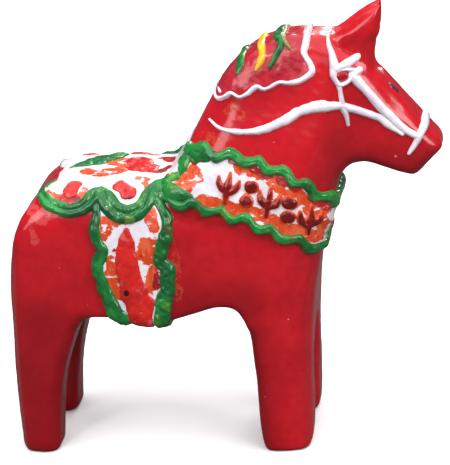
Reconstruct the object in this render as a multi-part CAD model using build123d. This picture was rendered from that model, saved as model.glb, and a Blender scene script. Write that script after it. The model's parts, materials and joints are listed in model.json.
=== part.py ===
from build123d import *
import math
import os

# Dala horse: a standing toy horse with a saddle cloth, girth, breast collar, mane and bridle in relief.
#
# Frame: millimetres, +X towards the nose, +Z up, Y = 0 is the plane of symmetry, and Z = 0 is the floor
# under the feet. The horse's right side is -Y. The origin is under the middle of the length.
#
# The body is worked as a carver works it: a side outline, a front outline and a plan outline are cut through
# one block. Each relief piece is a patch of a skin that lies on that body, cut out by its own outline in the
# side view, so it follows the body whatever the sizes are.

# ---- driving sizes, mm ----
HEIGHT = 70.6           # floor to ear tips
LENGTH = 69.8           # rump to muzzle
WIDTH = 24.0            # over the feet
LEG_GAP = 7.4           # between a left and a right foot
ARCH_HEIGHT = 19.0      # top of the gap between left and right legs
NECK_WIDTH = 20.6       # at the withers
HEAD_WIDTH = 11.0       # at the cheeks
MUZZLE_WIDTH = 8.4
EAR_WIDTH = 4.0         # each ear, across
EAR_NOTCH = 1.0         # between the two ears
CLOTH = 0.40            # thickness of the saddle cloth, girth, collar and mane patch
RAISED = 0.80           # height above the body of the motifs, brush strokes and white cords
PIPING = 1.10           # height above the body of the green piping
SADDLE_PIPING_WIDTH = 2.0
GIRTH_PIPING_WIDTH = 2.0
COLLAR_PIPING_WIDTH = 1.6
CORD_WIDTH = 1.3        # crown strap, noseband and mane edging
REIN_WIDTH = 1.5
EYE_SIZE = 1.5          # length of the eye
WAVE = 0.35             # how far the piping swings to each side
WAVE_PITCH = 3.9        # from one wave of the piping to the next

# ---- the size that the outlines below are drawn at; they are stretched to the sizes above ----
DRAWN_HEIGHT = 70.6
DRAWN_LENGTH = 69.8
DRAWN_MIDDLE = 0.4      # x at the middle of the drawn length
FAR = 120.0             # past the body on every side
SMALLEST_SOLID = 0.5    # mm3: specks that a cut leaves are not pieces
OVER_THE_TOP = 75.0     # above the body, where an outline that wraps over it is closed

SIDE_VIEW = Plane.XZ
FRONT_VIEW = Plane.YZ
PLAN_VIEW = Plane.XY


def at(x, z):
    """A side-view point, from the drawing to the horse's own size."""
    return ((x - DRAWN_MIDDLE) * LENGTH / DRAWN_LENGTH, z * HEIGHT / DRAWN_HEIGHT)


def side(points):
    return [at(x, z) for x, z in points]


# ---- outlines of the body: runs of points, two for a straight line and more for a smooth curve ----
TRUNK = [
    [(-28.0, 0), (-34.5, 0)],
    [(-34.5, 0), (-34.5, 8), (-34.2, 20), (-33.6, 29), (-32.3, 35.6), (-30.0, 40.6), (-26.0, 43.6),
     (-19, 44.5), (-10, 44.5), (-3, 44.6), (4, 44.3), (10, 43.0), (14.6, 40.2), (16.6, 36.6),
     (16.2, 32.6), (15.1, 28), (14.2, 21), (13.7, 13), (13.4, 5), (13.0, 0)],
    [(13.0, 0), (5.4, 0)],
    [(5.4, 0), (5.0, 6), (4.8, 12), (4.5, 17), (4.0, 21.2), (1.8, 24.6), (-2, 24.2), (-6, 23.0),
     (-10, 22.2), (-14, 22.6), (-18, 23.3), (-21.6, 22.8), (-24.3, 18.6), (-26.4, 12), (-27.5, 6),
     (-28.0, 0)],
]
NECK_AND_HEAD = [
    [(-6.5, 40), (-7.4, 44.4)],
    [(-7.4, 44.4), (-5.4, 47.2), (-4.0, 49.9), (-2.0, 53.4), (0.4, 57.4), (3.5, 61.2), (7.2, 64.1),
     (11, 65.6), (15.2, 66.0), (19.2, 65.6), (22.4, 63.7), (25.2, 60.4), (28.8, 56.0), (32.0, 51.9),
     (34.9, 48.7)],
    [(34.9, 48.7), (35.3, 47.4)],
    [(35.3, 47.4), (31.0, 43.2)],
    [(31.0, 43.2), (28.6, 43.8), (25.2, 45.2), (22.0, 45.9), (19.9, 44.6), (18.7, 41.4), (16.8, 35.6)],
    [(16.8, 35.6), (12, 34)],
    [(12, 34), (-6.5, 40)],
]
EAR = [
    [(25.2, 60.6), (18.6, 61.0)],
    [(18.6, 61.0), (18.4, 65.2)],
    [(18.4, 65.2), (21.0, 67.0), (23.7, 69.1), (26.4, 70.6)],
    [(26.4, 70.6), (26.8, 70.3)],
    [(26.8, 70.3), (26.3, 66.2), (25.2, 60.6)],
]


# ---- how the block is rounded, seen from the front and from above ----
# an inset is measured inwards from half of the width that is named beside it
SHOULDER, BACK = 33.0, 44.8                                 # heights on the trunk
FLANK_INSETS = [(0.0, 0.0), (0.0, 0.4), (0.15, 0.8), (0.4, 1.0)]    # from WIDTH; share of SHOULDER
BACK_INSETS = [(0.9, 0.50), (2.6, 0.80), (5.8, 0.96)]       # from WIDTH; share of the way up to BACK
ARCH_SHAPE = [(0.92, 0.55), (0.66, 0.88)]                   # shares of half LEG_GAP and of ARCH_HEIGHT
NECK_ROOT = [(29.0, 0.3), (37.0, 0.5)]                      # height, inset from WIDTH
NECK_SHAPE = [(44.0, 0.0), (54.0, 2.5), (62.0, 4.6), (65.2, 6.2)]   # height, inset from NECK_WIDTH
CREST = 66.2
PLAN_TRUNK = [(-35.0, 3.0), (-34.2, 1.5), (-32.0, 0.5), (-27.0, 0.1), (-16.0, 0.0), (0.0, 0.0), (8.0, 0.2),
              (12.2, 1.0), (14.6, 2.4)]                     # x, inset from WIDTH
PLAN_HEAD = [(17.2, -2.6), (20.2, -0.6), (25.0, 0.0)]       # x, inset from HEAD_WIDTH
PLAN_MUZZLE = [(31.0, -0.7), (36.6, 0.0)]                   # x, inset from MUZZLE_WIDTH
EAR_ROOT, EAR_TIP = 59.0, 71.6                              # foot and top of an ear's front view
EAR_OUTER, EAR_INNER = 1.5, 1.3                             # from its middle to its edges, two thirds up
EAR_POINT = 0.6                                             # width of the ear's tip


def grown(runs, by):
    """The closed outline made of the runs, moved outwards; points on the floor stay on the floor."""
    ring = [p for run in runs for p in run[:-1]]
    turned = sum(a[0] * b[1] - b[0] * a[1] for a, b in zip(ring, ring[1:] + ring[:1]))
    out = 1 if turned > 0 else -1
    moved = {}
    for i, p in enumerate(ring):
        here = Vector(*p)
        first = (here - Vector(*ring[i - 1])).normalized()
        second = (Vector(*ring[(i + 1) % len(ring)]) - here).normalized()
        along = (first + second).normalized()
        normal = Vector(along.Y, -along.X) * out
        spread = max(0.5, math.cos(math.radians(first.get_angle(second) / 2)))
        new = here + normal * (by / spread)
        moved[p] = (new.X, p[1] if abs(p[1]) < 1e-9 else new.Y)
    return [[moved[p] for p in run] for run in runs]


def outline_face(runs):
    edges = [Line(*run) if len(run) == 2 else Spline(*run) for run in runs]
    return make_face(Wire(edges))


def cut_through(runs, plane, by=0.0):
    """The prism of an outline, grown by the given amount, right through the block."""
    return extrude(plane * outline_face(grown(runs, by)), FAR, both=True)


def both_sides(right):
    """A run from the +Y side over the top, and on down the -Y side."""
    return right + [(-y, z) for y, z in reversed(right[:-1])]


def front_of_trunk():
    """Front view: two legs with an arched gap, upright flanks and a round back."""
    out, gap = WIDTH / 2, LEG_GAP / 2
    back, shoulder = at(0, BACK)[1], at(0, SHOULDER)[1]
    flank = [(out - inset, shoulder * share) for inset, share in FLANK_INSETS]
    round_back = [(out - inset, shoulder + (back - shoulder) * share) for inset, share in BACK_INSETS]
    arch = [(gap, 0)] + [(gap * wide, ARCH_HEIGHT * high) for wide, high in ARCH_SHAPE] + [(0, ARCH_HEIGHT)]
    arch = list(reversed(both_sides(arch)))
    return [both_sides(flank + round_back + [(0, back)]), [(-out, 0), (-gap, 0)], arch, [(gap, 0), (out, 0)]]


def front_of_neck():
    """Front view: a neck that narrows upwards from the shoulders to a round crest."""
    root = [(WIDTH / 2 - inset, at(0, z)[1]) for z, inset in NECK_ROOT]
    neck = [(NECK_WIDTH / 2 - inset, at(0, z)[1]) for z, inset in NECK_SHAPE]
    top = both_sides(root + neck + [(0, at(0, CREST)[1])])
    return [top, [top[-1], top[0]]]


def plan():
    """Plan view: rounded rump, straight flanks, rounded chest, then the narrower head."""
    right = []
    for width, stations in ((WIDTH, PLAN_TRUNK), (HEAD_WIDTH, PLAN_HEAD), (MUZZLE_WIDTH, PLAN_MUZZLE)):
        right += [(at(x, 0)[0], width / 2 - inset) for x, inset in stations]
    left = [(x, -y) for x, y in reversed(right)]
    return [right, [right[-1], left[0]], left, [left[-1], right[0]]]


def front_of_ear():
    """Front view of the +Y ear: a leaf that leans a little outwards."""
    root, tip = at(0, EAR_ROOT)[1], at(0, EAR_TIP)[1]
    inner, outer, point = EAR_NOTCH / 2, EAR_NOTCH / 2 + EAR_WIDTH, EAR_POINT / 2
    low, high = root + (tip - root) / 3, tip - (tip - root) / 3
    middle = (inner + outer) / 2
    return [
        [(inner, root), (outer, root)],
        [(outer, root), (outer, low), (middle + EAR_OUTER, high), (middle + point, tip)],
        [(middle + point, tip), (middle - point, tip)],
        [(middle - point, tip), (middle - EAR_INNER, high), (inner, low), (inner, root)],
    ]


def body(by=0.0):
    """The horse's body, grown outwards by the given amount."""
    in_plan = cut_through(plan(), PLAN_VIEW, by)
    trunk = cut_through([side(r) for r in TRUNK], SIDE_VIEW, by)
    trunk &= cut_through(front_of_trunk(), FRONT_VIEW, by)
    neck = cut_through([side(r) for r in NECK_AND_HEAD], SIDE_VIEW, by)
    neck &= cut_through(front_of_neck(), FRONT_VIEW, by)
    ear = cut_through([side(r) for r in EAR], SIDE_VIEW, by) & cut_through(front_of_ear(), FRONT_VIEW, by)
    return (trunk & in_plan) + (neck & in_plan) + ear + mirror(ear, Plane.XZ)


# ---- outlines of the relief, side view ----
def band(points, width, wave=0.0, tail=(1.0, 1.0)):
    """A band along a smooth path, with wavy edges where wave is given; tail is the width at each end."""
    path = Spline(*side(points)) if len(points) > 2 else Line(*side(points))
    waves = max(1, round(path.length / WAVE_PITCH))
    steps = waves * 5 if wave else 8
    left, right = [], []
    for i in range(steps + 1):
        share = i / steps
        here, along = path @ share, path % share
        normal = Vector(-along.Y, along.X)
        swell = tail[0] * (1 - share) + tail[1] * share
        swell += (1 - swell) * math.sin(math.pi * share) if min(tail) < 1 else 0.0
        swing = wave * math.sin(2 * math.pi * waves * share)
        left.append(here + normal * (width / 2 * swell + swing))
        right.append(here - normal * (width / 2 * swell - swing))
    edges = [Spline(*left), Line(left[-1], right[-1]), Spline(*reversed(right)), Line(right[0], left[0])]
    return make_face(Wire(edges))


def loop(runs):
    return outline_face([side(r) for r in runs])


def leaf(start, end, width):
    """A pointed oval from start to end, in the side view."""
    return pointed_oval(at(*start), at(*end), width)


def round_spot(centre, across):
    return Pos(*at(*centre)) * Circle(across / 2)


def minus(face, *others):
    for other in others:
        face -= other
    return face


SADDLE_REAR = [(-25.0, 50.0), (-26.6, 46.4), (-28.4, 43.4)]
SADDLE_CUSP = (-17.0, 43.4)
SADDLE_CORNER = (-8.8, 43.2)
SADDLE_LOBES = [(SADDLE_REAR[-1], (-23.0, 40.9), SADDLE_CUSP), (SADDLE_CUSP, (-12.6, 40.1), SADDLE_CORNER)]
LOBE_DEPTH = 9.0        # deeper than either lobe hangs
SADDLE_FRONT = [SADDLE_CORNER, (-7.4, 44.4), (-5.6, 45.3), (-4.0, 46.8), (-2.6, 49.8)]
GIRTH_REAR = [(-18.6, 42.0), (-18.4, 37.6), (-19.2, 34.1), (-18.6, 30.7), (-18.1, 27.2), (-16.6, 24.5),
              (-15.6, 18)]
GIRTH_FRONT = [(-8.8, 42.6), (-7.2, 40.4), (-7.2, 36.6), (-8.6, 33.4), (-8.4, 30.6), (-7.3, 27.6),
               (-8.4, 23.4), (-9.2, 18)]
COLLAR_TOP = [(-7.6, 50.9), (-3.6, 50.7), (1.4, 49.4), (6.9, 47.6), (12.2, 44.7), (17.0, 41.2), (22.5, 38.4)]
COLLAR_BOTTOM = [(-8.4, 43.4), (-3.6, 42.0), (1.2, 40.2), (6.4, 37.9), (12.2, 35.3), (16.6, 33.4),
                 (21.5, 31.4)]
MANE_EDGE = [(-3.4, 59.6), (-0.5, 57.2), (0.6, 56.0), (2.4, 57.0), (4.4, 57.3), (6.2, 57.9), (8.8, 58.0),
             (11.2, 58.8), (14.6, 59.0), (16.2, 60.5), (15.5, 62.6), (15.4, 65.0), (14.2, 68.6)]
REIN = [(-0.5, 52.8), (3.0, 51.8), (7.2, 52.2), (12.3, 54.5), (17.6, 55.8), (23.0, 55.0), (27.6, 52.8),
        (31.6, 50.2)]
CROWN_STRAP = [(18.0, 69.0), (18.6, 65.2), (19.3, 61.6), (19.7, 58.2), (20.5, 54.8), (21.1, 51.9)]
CHEEK_STRAP = [(22.4, 60.0), (25.0, 57.2), (28.0, 54.0), (31.4, 50.6)]
NOSEBAND = [(35.6, 54.0), (32.7, 51.2), (31.0, 48.2), (28.4, 43.0)]
BROWBAND = [(20.6, 62.0), (22.0, 62.4), (23.6, 62.6)]
EYE = (20.7, 60.0)
FACE_DOT = (1.5, 55.5)   # y, z: the dark dot on the front of the face
FACE_DOT_SIZE = 1.3
BLAZE_START = 20.0      # the dot lies on the face, ahead of this

# brush strokes on the mane: start, end, width of each leaf-shaped stroke
MANE_STROKES = {
    "mane_stroke_green_rear": [((4.6, 60.2), (5.6, 68.4), 1.6)],
    "mane_stroke_yellow": [((7.3, 61.0), (8.8, 69.6), 1.7)],
    "mane_stroke_green_front": [((9.6, 61.6), (11.6, 68.4), 1.2)],
    "mane_stroke_tan": [((12.9, 63.6), (12.6, 68.6), 0.9)],
}

# painted motifs on the cloth
SADDLE_BERRIES = [((-22.2, 43.2), 2.8), ((-12.2, 42.6), 2.8)]     # centre and diameter, side view
SADDLE_LEAF = ((-22.5, 0.6), (-12.4, 2.6), 2.6)                 # start, end and width, seen from above
SADDLE_BLOSSOM = ((-10.2, 2.2), 3.8)                              # centre and diameter, seen from above
SADDLE_TOP = 40.0       # the leaf and the blossom lie on the back, above this height
GIRTH_TULIPS = {
    "girth_tulip_upper": ((-12.7, 38.4), (-12.8, 32.4), 2.2),
    "girth_tulip_lower": ((-12.6, 32.0), (-12.4, 24.4), 2.8),
}
COLLAR_LEAF = 3.4       # length of a leaf on the collar
COLLAR_BERRY = 1.5      # diameter of a berry on the collar
COLLAR_PAIRS = 3        # leaf pairs on each side of the collar, with a berry between them
COLLAR_MOTIFS_FROM, COLLAR_MOTIFS_TO = 0.32, 0.78       # shares of the collar's length
# a leaf's shape, as shares of its length
LEAF_SPREAD = 0.45      # its tip, off the collar's middle
LEAF_REACH = 0.30       # its tip, ahead of the pair's middle
LEAF_ROOT = 0.40        # its root, behind the pair's middle
LEAF_ROOTS_APART = 0.10
LEAF_WIDTH = 0.40


def saddle_lobe(start, through, end):
    """The piping along one lobe of the saddle cloth, and the cloth inside it."""
    arc = ThreePointArc(at(*start), at(*through), at(*end))
    centre = Pos(*arc.arc_center)
    chord = Line(at(*start), at(*end))
    low_start, low_end = (start[0], start[1] - LOBE_DEPTH), (end[0], end[1] - LOBE_DEPTH)
    below = loop([[start, low_start], [low_start, low_end], [low_end, end], [end, start]])
    half = SADDLE_PIPING_WIDTH / 2
    ring = centre * (Circle(arc.radius + half) - Circle(arc.radius - half))
    inside = make_face(Wire([arc, chord]))
    rounded = round_spot(start, SADDLE_PIPING_WIDTH) + round_spot(end, SADDLE_PIPING_WIDTH)
    return (ring & below) + rounded, inside


def saddle():
    """The saddle's green piping and its white cloth, which turns up a little on the back of the neck."""
    piping = band(SADDLE_REAR, SADDLE_PIPING_WIDTH) + band(SADDLE_FRONT, SADDLE_PIPING_WIDTH)
    front, neck = SADDLE_FRONT[-1], COLLAR_TOP[0]
    over = [(neck[0], OVER_THE_TOP), (SADDLE_REAR[0][0], OVER_THE_TOP)]
    cloth = loop([SADDLE_REAR, [SADDLE_REAR[-1], SADDLE_CUSP], [SADDLE_CUSP, SADDLE_CORNER], SADDLE_FRONT,
                  [front, neck], [neck, over[0]], over, [over[1], SADDLE_REAR[0]]])
    for lobe in SADDLE_LOBES:
        ring, inside = saddle_lobe(*lobe)
        piping += ring
        cloth += inside
    return piping, cloth


def between(first, second):
    """The strip between two paths that run the same way."""
    back = list(reversed(second))
    return loop([first, [first[-1], back[0]], back, [back[-1], first[0]]])


def pointed_oval(a, b, width):
    """A leaf from point a to point b, in the sketch's own plane."""
    a, b = Vector(*a), Vector(*b)
    off = Vector(-(b - a).Y, (b - a).X).normalized() * (width / 2)
    middle = (a + b) / 2
    return make_face(Wire([ThreePointArc(a, middle + off, b), ThreePointArc(b, middle - off, a)]))


def collar_motifs():
    """Leaf pairs along the middle of the collar, and the berries between them."""
    top, bottom = Spline(*side(COLLAR_TOP)), Spline(*side(COLLAR_BOTTOM))
    leaves, berries = Sketch(), Sketch()
    places = 2 * COLLAR_PAIRS - 1
    for i in range(places):
        share = COLLAR_MOTIFS_FROM + (COLLAR_MOTIFS_TO - COLLAR_MOTIFS_FROM) * i / (places - 1)
        middle = (top @ share + bottom @ share) / 2
        across = (top @ share - bottom @ share).normalized()
        along = Vector(across.Y, -across.X)
        if i % 2:
            berries += Pos(middle) * Circle(COLLAR_BERRY / 2)
            continue
        for way in (1, -1):
            tip = middle + (across * way * LEAF_SPREAD + along * LEAF_REACH) * COLLAR_LEAF
            root = middle + (across * way * LEAF_ROOTS_APART - along * LEAF_ROOT) * COLLAR_LEAF
            leaves += pointed_oval((root.X, root.Y), (tip.X, tip.Y), COLLAR_LEAF * LEAF_WIDTH)
    return leaves, berries


class Skins:
    """Skins of the body: the space between the body and the body grown by each height of the relief."""

    def __init__(self):
        self.grown = {by: body(by) for by in (0.0, CLOTH, RAISED, PIPING)}

    def between(self, prism, top, bottom):
        return (prism & self.grown[top]) - self.grown[bottom]

    def patch(self, face, top, bottom=0.0):
        """The part of a skin that lies behind an outline in the side view, on both sides of the body."""
        return self.between(extrude(SIDE_VIEW * face, FAR, both=True), top, bottom)


def save(name, shape):
    """Writes one node, with every solid in it."""
    solids = [s for s in shape.solids() if s.volume > SMALLEST_SOLID]
    node = Compound(label=name, children=solids) if len(solids) > 1 else solids[0]
    node.label = name
    export_step(node, f"parts/{name}.step")


def save_pair(name, shape):
    """Writes the left-hand and the right-hand part of a relief piece as two nodes."""
    half = Pos(0, FAR, 0) * Box(4 * FAR, 2 * FAR, 4 * FAR)
    save(name + "_left", shape & half)
    save(name + "_right", shape & mirror(half, Plane.XZ))


def harness(skins):
    """The saddle cloth, the girth and the breast collar, their piping, and the motifs on them."""
    saddle_piping, saddle_cloth = saddle()
    collar_top = band(COLLAR_TOP, COLLAR_PIPING_WIDTH, WAVE) - saddle_piping
    collar_bottom = band(COLLAR_BOTTOM, COLLAR_PIPING_WIDTH, WAVE) - saddle_piping
    girth_rear = band(GIRTH_REAR, GIRTH_PIPING_WIDTH) - saddle_piping
    girth_front = minus(band(GIRTH_FRONT, GIRTH_PIPING_WIDTH), saddle_piping, collar_bottom)
    pipings = {"saddle_piping": saddle_piping, "collar_piping_upper": collar_top,
               "collar_piping_lower": collar_bottom, "girth_piping_rear": girth_rear,
               "girth_piping_front": girth_front}
    cloths = {"saddle_cloth": saddle_cloth, "breast_collar": between(COLLAR_TOP, COLLAR_BOTTOM),
              "girth_panel": between(GIRTH_REAR, GIRTH_FRONT)}
    for name, face in pipings.items():
        save(name, skins.patch(face, PIPING))
    laid = list(pipings.values())
    for name, face in cloths.items():
        face = minus(face, *laid)
        save(name, skins.patch(face, CLOTH))
        laid.append(face)

    berries = Sketch() + [round_spot(*berry) for berry in SADDLE_BERRIES]
    save_pair("saddle_berries", skins.patch(berries - saddle_piping, RAISED, CLOTH))
    for name, tulip in GIRTH_TULIPS.items():
        save_pair(name, skins.patch(minus(leaf(*tulip), saddle_piping), RAISED, CLOTH))
    leaves, dots = collar_motifs()
    save_pair("collar_leaves", skins.patch(minus(leaves, collar_top, collar_bottom), RAISED, CLOTH))
    save_pair("collar_berries", skins.patch(dots, RAISED, CLOTH))

    above = Pos(0, 0, at(0, SADDLE_TOP)[1]) * PLAN_VIEW
    start, end, width = SADDLE_LEAF
    centre, across = SADDLE_BLOSSOM
    from_above = {
        "saddle_leaf": pointed_oval((at(start[0], 0)[0], start[1]), (at(end[0], 0)[0], end[1]), width),
        "saddle_blossom": Pos(at(centre[0], 0)[0], centre[1]) * Circle(across / 2),
    }
    keep_off = extrude(SIDE_VIEW * saddle_piping, FAR, both=True)
    for name, face in from_above.items():
        save(name, skins.between(extrude(above * face, at(0, 10)[1]) - keep_off, RAISED, CLOTH))


def mane(skins):
    """The mane patch over the crest, its white edging and the brush strokes on it."""
    edging = band(MANE_EDGE, CORD_WIDTH)
    first, last = MANE_EDGE[0], MANE_EDGE[-1]
    patch = loop([MANE_EDGE, [last, (first[0], last[1])], [(first[0], last[1]), first]]) - edging
    save("mane_edging", skins.patch(edging, RAISED))
    save("mane_patch", skins.patch(patch, CLOTH))
    for name, strokes in MANE_STROKES.items():
        face = Sketch() + [leaf(*stroke) for stroke in strokes]
        save(name, skins.patch(face - edging, RAISED, CLOTH))


def bridle(skins):
    """The white cords of the bridle, the eyes and the dot on the face."""
    eye = Pos(*at(*EYE)) * Ellipse(EYE_SIZE / 2, EYE_SIZE * 0.4)
    ring = Pos(*at(*EYE)) * Ellipse(EYE_SIZE / 2 + CORD_WIDTH * 0.6, EYE_SIZE * 0.4 + CORD_WIDTH * 0.6) - eye
    crown = band(CROWN_STRAP, CORD_WIDTH, tail=(0.8, 0.6)) - eye
    rein = minus(band(REIN, REIN_WIDTH, tail=(0.35, 1.0)), crown)
    noseband = band(NOSEBAND, CORD_WIDTH)
    cheek = band(CHEEK_STRAP, REIN_WIDTH)
    save("crown_strap", skins.patch(crown, RAISED))
    save("noseband", skins.patch(noseband - rein, RAISED))
    save_pair("rein", skins.patch(rein, RAISED))
    laid = [crown, rein, noseband]
    for name, face in (("eye_ring", ring), ("cheek_strap", cheek), ("browband", band(BROWBAND, CORD_WIDTH))):
        face = minus(face, eye, *laid)
        save_pair(name, skins.patch(face, RAISED))
        laid.append(face)
    save_pair("eye", skins.patch(eye, CLOTH))
    y, z = FACE_DOT
    dot = Pos(y, at(0, z)[1]) * Circle(FACE_DOT_SIZE / 2)
    face_front = Plane(origin=(at(BLAZE_START, 0)[0], 0, 0), x_dir=(0, 1, 0), z_dir=(1, 0, 0))
    save("face_dot", skins.between(extrude(face_front * dot, FAR), CLOTH, 0.0))


def main():
    os.makedirs("parts", exist_ok=True)
    skins = Skins()
    save("horse_body", skins.grown[0.0])
    harness(skins)
    mane(skins)
    bridle(skins)


if __name__ == "__main__":
    main()
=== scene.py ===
"""The dala horse's looks: a hand-finished lacquered body, with harness, mane and bridle in relief on it.

Every relief piece is a skin of the body's own surface, raised by a height that a maker's line, dab or
brush stroke gives it, so it follows the body and meets it with a soft edge. Lengths are in metres in the
meshes and in millimetres in the drawings below.
"""
import json
import math
import bpy
import numpy as np
from mathutils import Matrix, Vector
from mathutils.bvhtree import BVHTree


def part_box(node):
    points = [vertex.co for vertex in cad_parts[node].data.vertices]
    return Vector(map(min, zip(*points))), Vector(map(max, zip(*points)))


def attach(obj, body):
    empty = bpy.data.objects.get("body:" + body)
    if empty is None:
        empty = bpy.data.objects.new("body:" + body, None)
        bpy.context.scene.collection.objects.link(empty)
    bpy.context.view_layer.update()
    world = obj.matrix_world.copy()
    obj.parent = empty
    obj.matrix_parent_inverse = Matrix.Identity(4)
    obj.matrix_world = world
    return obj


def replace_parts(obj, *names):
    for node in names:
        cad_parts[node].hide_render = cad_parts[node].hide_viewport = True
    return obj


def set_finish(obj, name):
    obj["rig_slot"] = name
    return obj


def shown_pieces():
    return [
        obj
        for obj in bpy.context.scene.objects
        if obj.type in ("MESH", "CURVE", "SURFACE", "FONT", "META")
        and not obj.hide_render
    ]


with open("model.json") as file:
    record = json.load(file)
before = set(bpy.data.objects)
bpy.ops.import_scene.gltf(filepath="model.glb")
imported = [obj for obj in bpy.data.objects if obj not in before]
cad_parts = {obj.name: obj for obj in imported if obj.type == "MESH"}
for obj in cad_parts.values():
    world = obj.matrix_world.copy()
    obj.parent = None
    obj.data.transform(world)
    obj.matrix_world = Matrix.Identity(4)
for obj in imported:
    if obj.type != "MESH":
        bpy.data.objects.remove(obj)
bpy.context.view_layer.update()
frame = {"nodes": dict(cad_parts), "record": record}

MM = 0.001
BODY_LOW, BODY_HIGH = (np.array(c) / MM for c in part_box("horse_body"))
DRAWN_LENGTH, DRAWN_HEIGHT = 69.8, 70.6     # the size that the drawings are made at
VOXEL = 0.40                                # grain of the body's surface before smoothing
SUNK = 0.22                                 # how deep a relief piece's root sits in the body
BARE = -1.0                                 # height that stands for no paint at all
NEAR = -0.6                                 # a height above this is worth a finer surface

# heights of the relief above the body, mm
CLOTH = 0.34
PIPING = 1.10
CORD = 0.64
MANE = 0.26
TOP_OF_FLANK = 8.6      # from here inwards the back is counted as further up, as if it were unrolled
UNROLLED = 0.9


# ---- drawing in the side view ----
def at(x, z):
    """A drawn side-view point, stretched to the body's own length and height."""
    length, height = (BODY_HIGH - BODY_LOW)[0], (BODY_HIGH - BODY_LOW)[2]
    middle = (BODY_HIGH + BODY_LOW)[0] / 2
    return (middle + (x - 0.4) * length / DRAWN_LENGTH, BODY_LOW[2] + z * height / DRAWN_HEIGHT)


def smooth_line(points, step=0.12):
    """A dense smooth line through the points, with its running length."""
    p = np.array(points, float)
    if len(p) > 2:
        ends = np.vstack([2 * p[0] - p[1], p, 2 * p[-1] - p[-2]])
        out = []
        for a, b, c, d in zip(ends[:-3], ends[1:-2], ends[2:-1], ends[3:]):
            count = max(3, int(np.linalg.norm(c - b) / step))
            t = np.linspace(0, 1, count, endpoint=False)[:, None]
            out.append(0.5 * (2 * b + (c - a) * t + (2 * a - 5 * b + 4 * c - d) * t ** 2
                              + (3 * b - a - 3 * c + d) * t ** 3))
        p = np.vstack(out + [p[-1:]])
    else:
        count = max(3, int(np.linalg.norm(p[1] - p[0]) / step))
        p = p[0] + (p[1] - p[0]) * np.linspace(0, 1, count)[:, None]
    run = np.concatenate([[0], np.cumsum(np.linalg.norm(np.diff(p, axis=0), axis=1))])
    return p, run


def side_view(v):
    """Side-view places of points."""
    return v[:, [0, 2]]


def unrolled(v):
    """Side-view places of points, with the top of the back unrolled upwards."""
    rise = np.maximum(0, TOP_OF_FLANK - np.abs(v[:, 1])) * ((v[:, 2] > 42.0) & (v[:, 0] < -5.5))
    return np.stack([v[:, 0], v[:, 2] + UNROLLED * rise], axis=1)


def from_above(v):
    return v[:, [0, 1]]


def from_front(v):
    return v[:, [1, 2]]


class Line:
    """A drawn line that tells, for any points, how far off it they are, on which side, and how far along."""

    def __init__(self, points, drawn=True, see=side_view):
        points = [at(*p) for p in points] if drawn else points
        self.p, self.run = smooth_line(points)
        along = np.gradient(self.p, axis=0)
        along /= np.linalg.norm(along, axis=1)[:, None]
        self.normal = np.stack([-along[:, 1], along[:, 0]], axis=1)
        self.length = self.run[-1]
        self.see = see

    def measure(self, q):
        """(signed distance, distance, share of the way along) of points q."""
        off, far, share = (np.empty(len(q)) for _ in range(3))
        for start in range(0, len(q), 20000):
            part = q[start:start + 20000]
            d2 = ((part[:, None, :] - self.p[None, :, :]) ** 2).sum(axis=2)
            i = d2.argmin(axis=1)
            gap = part - self.p[i]
            off[start:start + 20000] = (gap * self.normal[i]).sum(axis=1)
            far[start:start + 20000] = np.sqrt(d2[np.arange(len(part)), i])
            share[start:start + 20000] = self.run[i] / self.length
        return off, far, share


def inside(q, ring):
    """True for the points q inside the closed ring of points."""
    x, y = q[:, 0], q[:, 1]
    hit = np.zeros(len(q), bool)
    for (x1, y1), (x2, y2) in zip(ring, np.roll(ring, -1, axis=0)):
        crosses = (y1 > y) != (y2 > y)
        if y1 != y2:
            hit ^= crosses & (x < (x2 - x1) * (y - y1) / (y2 - y1) + x1)
    return hit


def ease(low, high, v):
    t = np.clip((v - low) / (high - low), 0, 1)
    return t * t * (3 - 2 * t)


def waver(p, size, seed, octaves=2):
    """A soft random swell between about -1 and 1 over points p, with swells about as wide as size."""
    rng = np.random.default_rng(seed)
    total, weight = np.zeros(len(p)), 1.0
    for _ in range(octaves):
        for _ in range(5):
            way = rng.normal(size=p.shape[1])
            way *= 2 * math.pi / (size * np.linalg.norm(way)) * rng.uniform(0.6, 1.25)
            total += weight * 0.42 * np.sin(p @ way + rng.uniform(0, 2 * math.pi))
        size, weight = size * 0.46, weight * 0.5
    return total / 1.5


# ---- the body ----
def mesh_arrays(mesh):
    v = np.empty(len(mesh.vertices) * 3)
    mesh.vertices.foreach_get("co", v)
    return v.reshape(-1, 3) / MM


def evaluated(obj):
    """The object's mesh with its modifiers applied, as a new mesh."""
    graph = bpy.context.evaluated_depsgraph_get()
    return bpy.data.meshes.new_from_object(obj.evaluated_get(graph))


def new_object(name, mesh):
    obj = bpy.data.objects.new(name, mesh)
    bpy.context.scene.collection.objects.link(obj)
    return obj


def edge_pairs(mesh):
    e = np.empty(len(mesh.edges) * 2, int)
    mesh.edges.foreach_get("vertices", e)
    return e.reshape(-1, 2)


def neighbour_mean(v, edges, degree):
    total = np.zeros_like(v)
    for a, b in ((0, 1), (1, 0)):
        for axis in range(3):
            total[:, axis] += np.bincount(edges[:, a], weights=v[edges[:, b], axis], minlength=len(v))
    return total / degree[:, None]


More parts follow.
